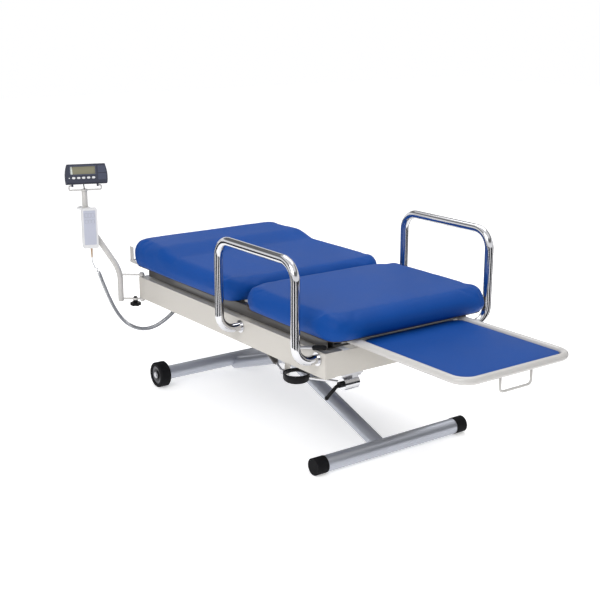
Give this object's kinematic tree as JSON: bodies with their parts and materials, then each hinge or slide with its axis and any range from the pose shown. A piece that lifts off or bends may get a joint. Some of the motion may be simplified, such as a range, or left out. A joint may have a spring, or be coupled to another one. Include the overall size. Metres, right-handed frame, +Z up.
{
  "type": "weighing examination couch",
  "caption": "Height-adjustable padded examination couch on a scissor base with load cells, tilting backrest, pull-out leg rest, side rails, and a weight indicator on a swivel pole.",
  "frame": {"origin": "centre of the bounding box in X and Y (free cords left out), on the floor in Z", "axes": "+X towards the foot end, +Y towards the far side, away from the indicator pole, +Z up"},
  "size_m": [1.9235, 0.9794, 0.8724],
  "materials": {
    "black_rubber": "matt, fine grained",
    "silver_paint": "silver metallic paint",
    "steel": "bright zinc or ground steel",
    "grey_hub": "black with a bright axle end",
    "beige_paint": "smooth warm grey enamel",
    "white_paint": "glossy white enamel",
    "board": "raw plywood",
    "blue_vinyl": "blue grained vinyl, satin",
    "chrome": "polished",
    "grey_plastic": "light grey, fine texture",
    "dark_metal": "dark lacquer",
    "black_plastic": "black, satin",
    "white_plastic": "white",
    "membrane": "blue grey printed film",
    "tan_rubber": "tan, matt",
    "slate_plastic": "dark slate, fine texture",
    "display": "olive liquid crystal window",
    "black_cord": "satin",
    "grey_cord": "satin"
  },
  "bodies": {
    "base": {"foot_caps": "black_rubber"},
    "front_leg": {"front_leg": "silver_paint", "scissor_pin": "steel", "track_rollers": "steel"},
    "rear_leg": {"rear_leg": "silver_paint", "rear_leg_pins": "steel"},
    "near_wheel": {"near_tyre": "black_rubber", "near_hub": "grey_hub"},
    "far_wheel": {"far_tyre": "black_rubber", "far_hub": "grey_hub"},
    "chassis": {"side_panels": "beige_paint", "end_panels": "beige_paint", "lift_frame": "beige_paint", "load_cells": "steel", "bed_frame": "dark_metal", "seat_board": "board", "seat_cushion": "blue_vinyl", "rest_guides": "white_paint", "rail_sockets": "chrome", "control_box": "grey_plastic", "stirrup_bracket": "steel", "pole_bracket": "beige_paint", "stirrup_clamp": "chrome", "actuator_body": "dark_metal", "handset_lead": "grey_cord", "curly_cord": "grey_cord"},
    "backrest": {"backrest_board": "board", "backrest_cushion": "blue_vinyl", "backrest_hinge_pins": "steel", "paper_holder": "white_paint"},
    "leg_rest": {"rest_frame": "white_paint", "rest_pad": "blue_vinyl", "pull_handle": "white_paint"},
    "near_rail": {"near_rail": "chrome"},
    "far_rail": {"far_rail": "chrome"},
    "gas_rod": {"gas_spring_rod": "steel"},
    "gas_cylinder": {"gas_spring_body": "dark_metal"},
    "release_lever": {"release_lever": "steel", "release_grip": "black_rubber"},
    "stirrup": {"stirrup_rod": "chrome", "heel_loop": "black_plastic"},
    "clamp_lever": {"clamp_lever": "black_plastic"},
    "actuator_rod": {"actuator_rod": "steel"},
    "pole": {"pole": "white_paint", "pole_arms": "white_paint", "handset_back": "white_plastic", "handset_front": "white_plastic", "handset_keypad": "membrane", "strain_relief": "tan_rubber", "indicator_bracket": "white_paint", "indicator_lead": "black_cord"},
    "lock_knob": {"lock_knob": "black_plastic"},
    "indicator": {"indicator_shell": "slate_plastic", "indicator_bezel": "slate_plastic", "indicator_display": "display"},
    "key_1": {"indicator_key_1": "white_plastic"},
    "key_2": {"indicator_key_2": "white_plastic"},
    "key_3": {"indicator_key_3": "white_plastic"},
    "key_4": {"indicator_key_4": "white_plastic"},
    "key_5": {"indicator_key_5": "white_plastic"}
  },
  "joints": [
    {"name": "lift", "type": "hinge", "parent": "base", "child": "front_leg", "pos_m": [0.3892, 0.0647, 0.029], "axis": [0, 1, 0], "range_deg": [-6, 22]},
    {"name": "scissor", "type": "hinge", "parent": "front_leg", "child": "rear_leg", "pos_m": [-0.13545, 0.0647, 0.20556], "axis": [0, 1, 0], "range_deg": [-44, 12]},
    {"name": "level", "type": "hinge", "parent": "rear_leg", "child": "chassis", "pos_m": [0.3892, 0.0647, 0.38213], "axis": [0, 1, 0], "range_deg": [-6, 22]},
    {"name": "near_wheel_turn", "type": "hinge", "parent": "rear_leg", "child": "near_wheel", "pos_m": [-0.6554, -0.2463, 0.05], "axis": [0, 1, 0], "continuous": true},
    {"name": "far_wheel_turn", "type": "hinge", "parent": "rear_leg", "child": "far_wheel", "pos_m": [-0.6554, 0.3757, 0.05], "axis": [0, 1, 0], "continuous": true},
    {"name": "backrest_tilt", "type": "hinge", "parent": "chassis", "child": "backrest", "pos_m": [-0.1038, 0.0647, 0.5], "axis": [0, 1, 0], "range_deg": [0, 50]},
    {"name": "leg_rest_slide", "type": "slide", "parent": "chassis", "child": "leg_rest", "axis": [1, 0, 0], "range_m": [-0.44, 0]},
    {"name": "near_rail_slide", "type": "slide", "parent": "chassis", "child": "near_rail", "axis": [0, -1, 0], "range_m": [0, 0.045]},
    {"name": "far_rail_slide", "type": "slide", "parent": "chassis", "child": "far_rail", "axis": [0, 1, 0], "range_m": [0, 0.045]},
    {"name": "gas_rod_swing", "type": "hinge", "parent": "chassis", "child": "gas_rod", "pos_m": [0.0142, -0.1203, 0.221], "axis": [0, 1, 0], "range_deg": [0, 18]},
    {"name": "gas_cylinder_slide", "type": "slide", "parent": "gas_rod", "child": "gas_cylinder", "axis": [-0.8681, 0, 0.4965], "range_m": [0, 0.134]},
    {"name": "release_lever_lift", "type": "hinge", "parent": "chassis", "child": "release_lever", "pos_m": [0.3102, -0.2693, 0.414], "axis": [0, -1, 0], "range_deg": [0, 5], "stiffness_Nm_per_rad": 4},
    {"name": "stirrup_swivel", "type": "hinge", "parent": "chassis", "child": "stirrup", "pos_m": [0.4222, -0.1753, 0.303], "axis": [0, 1, 0], "range_deg": [-150, 0]},
    {"name": "clamp_lever_turn", "type": "hinge", "parent": "chassis", "child": "clamp_lever", "pos_m": [0.4222, -0.1753, 0.303], "axis": [0, 1, 0], "range_deg": [-40, 40]},
    {"name": "pole_swivel", "type": "hinge", "parent": "chassis", "child": "pole", "pos_m": [-0.7734, -0.2523, 0.325], "axis": [0, 0, 1], "range_deg": [-40, 50]},
    {"name": "lock_knob_turn", "type": "hinge", "parent": "pole", "child": "lock_knob", "pos_m": [-0.79125, -0.27515, 0.325], "axis": [0, 0, 1], "range_deg": [-180, 180]},
    {"name": "indicator_tilt", "type": "hinge", "parent": "pole", "child": "indicator", "pos_m": [-0.90423, -0.41975, 0.789], "axis": [0.3322, 0.9432, 0], "range_deg": [-20, 12]},
    {"name": "actuator_slide", "type": "slide", "parent": "chassis", "child": "actuator_rod", "axis": [1, 0, 0], "range_m": [-0.06, 0.21]},
    {"name": "key_1_press", "type": "slide", "parent": "indicator", "child": "key_1", "axis": [-0.9152, 0.3223, -0.2419], "range_m": [0, 0.0012], "stiffness_N_per_m": 600},
    {"name": "key_2_press", "type": "slide", "parent": "indicator", "child": "key_2", "axis": [-0.9152, 0.3223, -0.2419], "range_m": [0, 0.0012], "stiffness_N_per_m": 600},
    {"name": "key_3_press", "type": "slide", "parent": "indicator", "child": "key_3", "axis": [-0.9152, 0.3223, -0.2419], "range_m": [0, 0.0012], "stiffness_N_per_m": 600},
    {"name": "key_4_press", "type": "slide", "parent": "indicator", "child": "key_4", "axis": [-0.9152, 0.3223, -0.2419], "range_m": [0, 0.0012], "stiffness_N_per_m": 600},
    {"name": "key_5_press", "type": "slide", "parent": "indicator", "child": "key_5", "axis": [-0.9152, 0.3223, -0.2419], "range_m": [0, 0.0012], "stiffness_N_per_m": 600}
  ],
  "couplings": [
    {"joint": "scissor", "follows": "lift", "ratio": -2},
    {"joint": "level", "follows": "lift", "ratio": 1},
    {"joint": "gas_rod_swing", "follows": "backrest_tilt", "ratio": 0.355},
    {"joint": "gas_cylinder_slide", "follows": "backrest_tilt", "m_per_rad": 0.1525},
    {"joint": "actuator_slide", "follows": "lift", "m_per_rad": 0.544}
  ]
}
